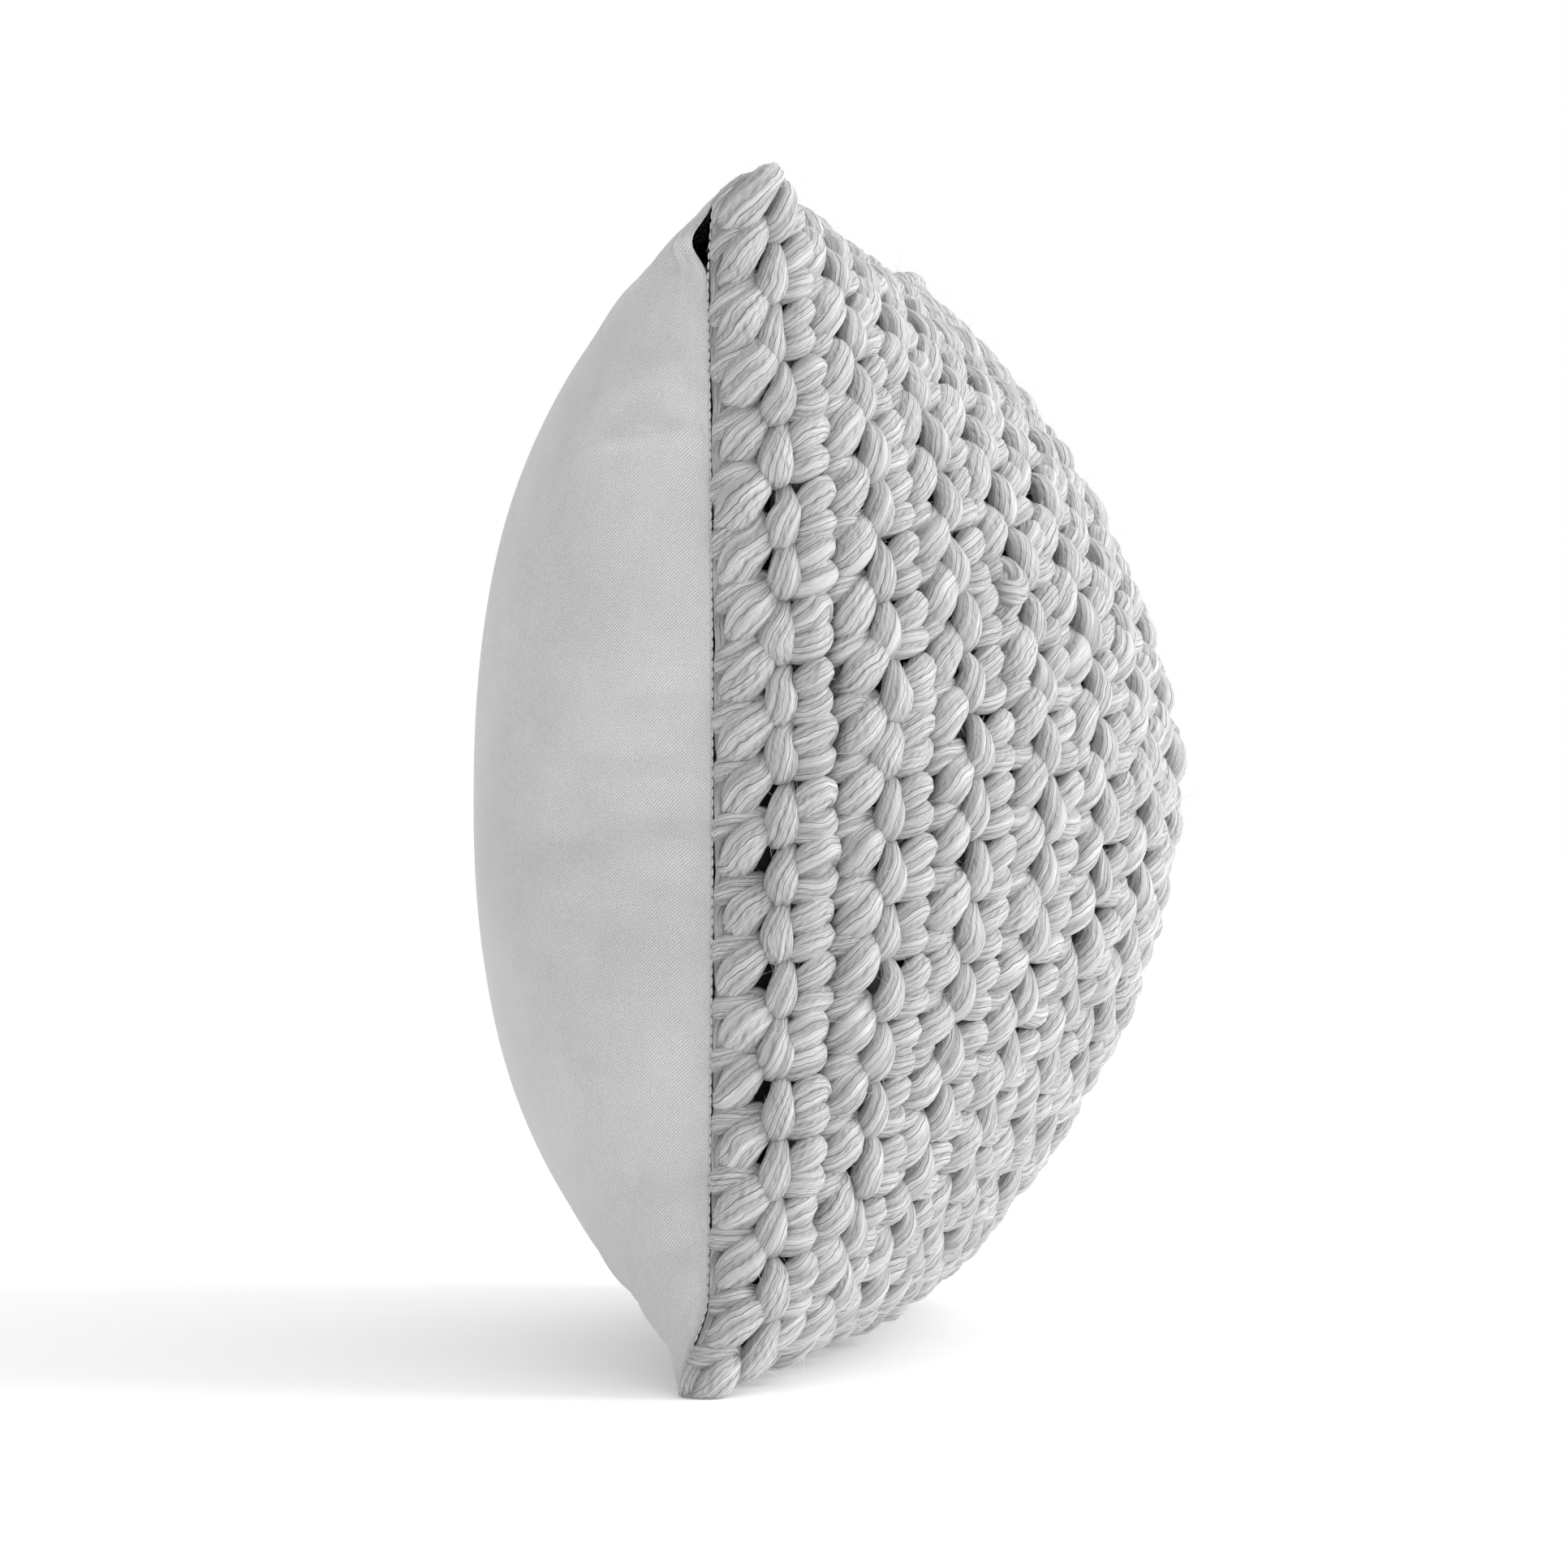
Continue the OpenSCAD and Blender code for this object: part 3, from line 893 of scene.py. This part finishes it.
def satin_layer(u, v):
    points = back_surface(SATIN_BASE, SATIN_RISE, u, v)
    normal = unit(np.cross(np.gradient(points, axis=0), np.gradient(points, axis=1)))
    shape = points.shape[:2]
    waves = sum(smooth_noise(shape, (cells, cells), seed) * height for cells, height, seed in WAVES)
    inner = swell(u, v, 3.0, 0.5)
    points += normal * (puckers(u, v, 70) + waves * inner)[:, :, None]
    slip = bell((points[:, :, 2] - SLIP_Z) / SLIP_BAND) * eased((-points[:, :, 0] - SLIP_X) / SLIP_RUN)
    rim = slip * bell((u + 1) / 0.035)
    points[:, :, 0] += SLIP_IN * rim
    points[:, :, 1] += SLIP_BACK * rim + FOLD_BACK * slip * bell((u + 0.975) / 0.012)
    return points


RIM_HELD = 2  # rows of points
SETTLE_FRAMES, SETTLE_MOST = 20, 0.0012


def settle_cloth(points, frames, most):
    """Lets a sheet find its own small folds, held round its rim and blown out from inside."""
    count = points.shape[0]
    sheet = grid_object("cloth_at_work", points)
    rim = sheet.vertex_groups.new(name="rim")
    index = np.arange(count * count).reshape(count, count)
    held = np.ones((count, count), bool)
    held[RIM_HELD:-RIM_HELD, RIM_HELD:-RIM_HELD] = False
    rim.add(index[held].tolist(), 1.0, "REPLACE")
    cloth = sheet.modifiers.new("cloth", "CLOTH")
    settings = cloth.settings
    settings.quality = 6
    settings.mass = 0.15
    settings.tension_stiffness = settings.compression_stiffness = 12
    settings.shear_stiffness = 4
    settings.bending_stiffness = 0.4
    settings.vertex_group_mass = "rim"
    settings.shrink_min = settings.shrink_max = -0.018
    settings.use_pressure = True
    settings.uniform_pressure_force = 4
    settings.effector_weights.gravity = 0
    cloth.collision_settings.use_collision = False
    cloth.point_cache.frame_start, cloth.point_cache.frame_end = 1, frames
    scene = bpy.context.scene
    for frame_number in range(1, frames + 1):
        scene.frame_set(frame_number)
    settled = sheet.evaluated_get(bpy.context.evaluated_depsgraph_get())
    moved = np.empty(count * count * 3, np.float32)
    settled.data.vertices.foreach_get("co", moved)
    scene.frame_set(1)
    moved = moved.reshape(count, count, 3) - points
    bpy.data.objects.remove(sheet)
    size = np.linalg.norm(moved, axis=2, keepdims=True)
    return points + moved * np.minimum(1, most / np.maximum(size, TINY))


satin_u, satin_v = spaced(SATIN_GRID)[None, :], spaced(SATIN_GRID)[:, None]
satin_points = satin_layer(satin_u, satin_v)
satin_points = settle_cloth(satin_points, SETTLE_FRAMES, SETTLE_MOST)
# The cloth lies on the insert inside it, and stays behind the seam
inside = back_surface(INSIDE_BASE, INSIDE_RISE, satin_u, satin_v)[:, :, 1] + LAYER_GAP
satin_points[:, :, 1] = np.maximum(satin_points[:, :, 1], np.maximum(inside, SEAM_Y + 0.0001))
satin_back = grid_object("satin_panel", round_tip(lean(satin_points)))
thickness = satin_back.modifiers.new("thickness", "SOLIDIFY")
thickness.thickness = 0.0006
thickness.offset = -1
dress(satin_back, satin)
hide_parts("satin_back")

# ---- Seam stitches ----


SEAM_BASE, SEAM_RISE = 0.2184, 0.1215
SEAM_SAMPLES = 200  # to each side of the pillow
SEAM_PITCH, SEAM_STITCH, SEAM_END = 0.0036, 0.0030, 0.004
SEAM_RINGS = (0.00012, 0.00036, 0.00042, 0.00036, 0.00012)  # the radii along one stitch
SEAM_SIDES = 8


def seam_stitches():
    """Separate machine stitches in the groove between the satin and the crochet."""
    corner = np.array([[-1, -1], [1, -1], [1, 1], [-1, 1], [-1, -1]], float)
    t = np.linspace(0, 1, SEAM_SAMPLES + 1)[:-1, None]
    uv = np.concatenate([corner[k] * (1 - t) + corner[k + 1] * t for k in range(4)] + [corner[:1]])
    rim = back_surface(SEAM_BASE, SEAM_RISE, uv[:, 0], uv[:, 1])
    rim[:, 1] += LAYER_GAP
    rim = round_tip(lean(rim))
    run = np.concatenate([[0], np.cumsum(np.linalg.norm(np.diff(rim, axis=0), axis=1))])
    turn = np.linspace(0, 2 * math.pi, SEAM_SIDES, endpoint=False)[:, None]
    i, j = np.meshgrid(np.arange(len(SEAM_RINGS) - 1) * SEAM_SIDES, np.arange(SEAM_SIDES), indexing="ij")
    this, following = (i + j).ravel(), (i + (j + 1) % SEAM_SIDES).ravel()
    one = np.stack([this, following, following + SEAM_SIDES, this + SEAM_SIDES], axis=1)
    points, quads = [], []
    for k, start in enumerate(np.arange(SEAM_END, run[-1] - SEAM_END, SEAM_PITCH)):
        at = start + np.linspace(0, SEAM_STITCH, len(SEAM_RINGS))
        middle = np.stack([np.interp(at, run, rim[:, n]) for n in range(3)], axis=1)
        forward = unit(middle[-1] - middle[0])
        side = unit(np.cross(forward, [0.0, 1.0, 0.0]))
        circle = np.cos(turn) * side + np.sin(turn) * np.cross(side, forward)
        points += [place + size * circle for place, size in zip(middle, SEAM_RINGS)]
        quads.append(one + len(SEAM_RINGS) * SEAM_SIDES * k)
    return mesh_object("seam_stitches", np.concatenate(points), np.concatenate(quads))


stitches = seam_stitches()
dress(stitches, sewing_thread)
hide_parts("cover_seam_thread")

# ---- Floor, light and camera ----

WHITE = (1, 1, 1, 1)

bpy.ops.mesh.primitive_plane_add(size=30, location=(0, 0, -0.0005))
floor = bpy.context.object
floor.name = "floor"
paper = simple_material("paper", (0.97, 0.97, 0.97, 1), (0.96, 0.96, 0.96, 1), 0.9, 20.0, 0.0)
paper.shade(Emission_Color=WHITE, Emission_Strength=0.15)
floor.data.materials.append(paper.material)
floor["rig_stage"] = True

world = bpy.data.worlds.new("studio")
bpy.context.scene.world = world
world.use_nodes = True
tree = world.node_tree
heading = tree.nodes.new("ShaderNodeSeparateXYZ")
tree.links.new(tree.nodes.new("ShaderNodeTexCoord").outputs["Generated"], heading.inputs[0])
TO_X, TO_Y = heading.outputs[0], heading.outputs[1]
# Bright on the crochet's side, dimmer on the satin's side and behind the camera
factors = []
for socket, low, high, at_low, at_high in (
    (TO_Y, 0.29, 0.95, 1.0, 0.26),
    (TO_Y, -0.9, -0.1, 1.35, 1.0),
    (TO_X, -0.9, 0.1, 0.74, 1.0),
):
    node = tree.nodes.new("ShaderNodeMapRange")
    node.interpolation_type = "SMOOTHSTEP"
    tree.links.new(socket, node.inputs["Value"])
    for key, value in (("From Min", low), ("From Max", high), ("To Min", at_low), ("To Max", at_high)):
        node.inputs[key].default_value = value
    factors.append(node.outputs[0])
product = factors[0]
for factor in factors[1:]:
    node = tree.nodes.new("ShaderNodeMath")
    node.operation = "MULTIPLY"
    tree.links.new(product, node.inputs[0])
    tree.links.new(factor, node.inputs[1])
    product = node.outputs[0]
background = tree.nodes["Background"]
background.inputs[0].default_value = WHITE
tree.links.new(product, background.inputs[1])


def look_along(obj, direction):
    obj.rotation_mode = "QUATERNION"
    obj.rotation_quaternion = direction.to_track_quat("-Z", "Y")


def softbox(name, place, size, power):
    """A square light that faces the pillow's middle."""
    light = bpy.data.lights.new(name, "AREA")
    light.shape = "SQUARE"
    light.size = size
    light.energy = power
    obj = bpy.data.objects.new(name, light)
    bpy.context.scene.collection.objects.link(obj)
    obj.location = place
    look_along(obj, Vector((0, 0, 0.22)) - obj.location)


softbox("key_front", (0.1, -2.5, 1.2), 1.4, 38)
softbox("fill_side", (-2.4, -0.2, 1.4), 1.8, 2)

# The camera looks along the seam from the -X side, turned a little towards the crochet
YAW = math.radians(8.5)
DISTANCE = 2.2
SENSOR, FOCAL_PER_WIDTH = 36, 3.512
SHIFT_LEFT, SHIFT_UP = 0.0046, 0.0026
right = Vector((math.sin(YAW), -math.cos(YAW), 0))
centre = Vector((0, SEAM_Y, MIDDLE_Z + SHIFT_UP)) - right * SHIFT_LEFT
camera = bpy.data.cameras.new("camera")
camera.sensor_width = SENSOR
camera.lens = SENSOR * FOCAL_PER_WIDTH
eye = bpy.data.objects.new("camera", camera)
bpy.context.scene.collection.objects.link(eye)
away = Vector((-math.cos(YAW), -math.sin(YAW), 0))
eye.location = centre + away * DISTANCE
look_along(eye, -away)
bpy.context.scene.camera = eye
bpy.context.scene.view_settings.view_transform = "Standard"

low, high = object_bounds()
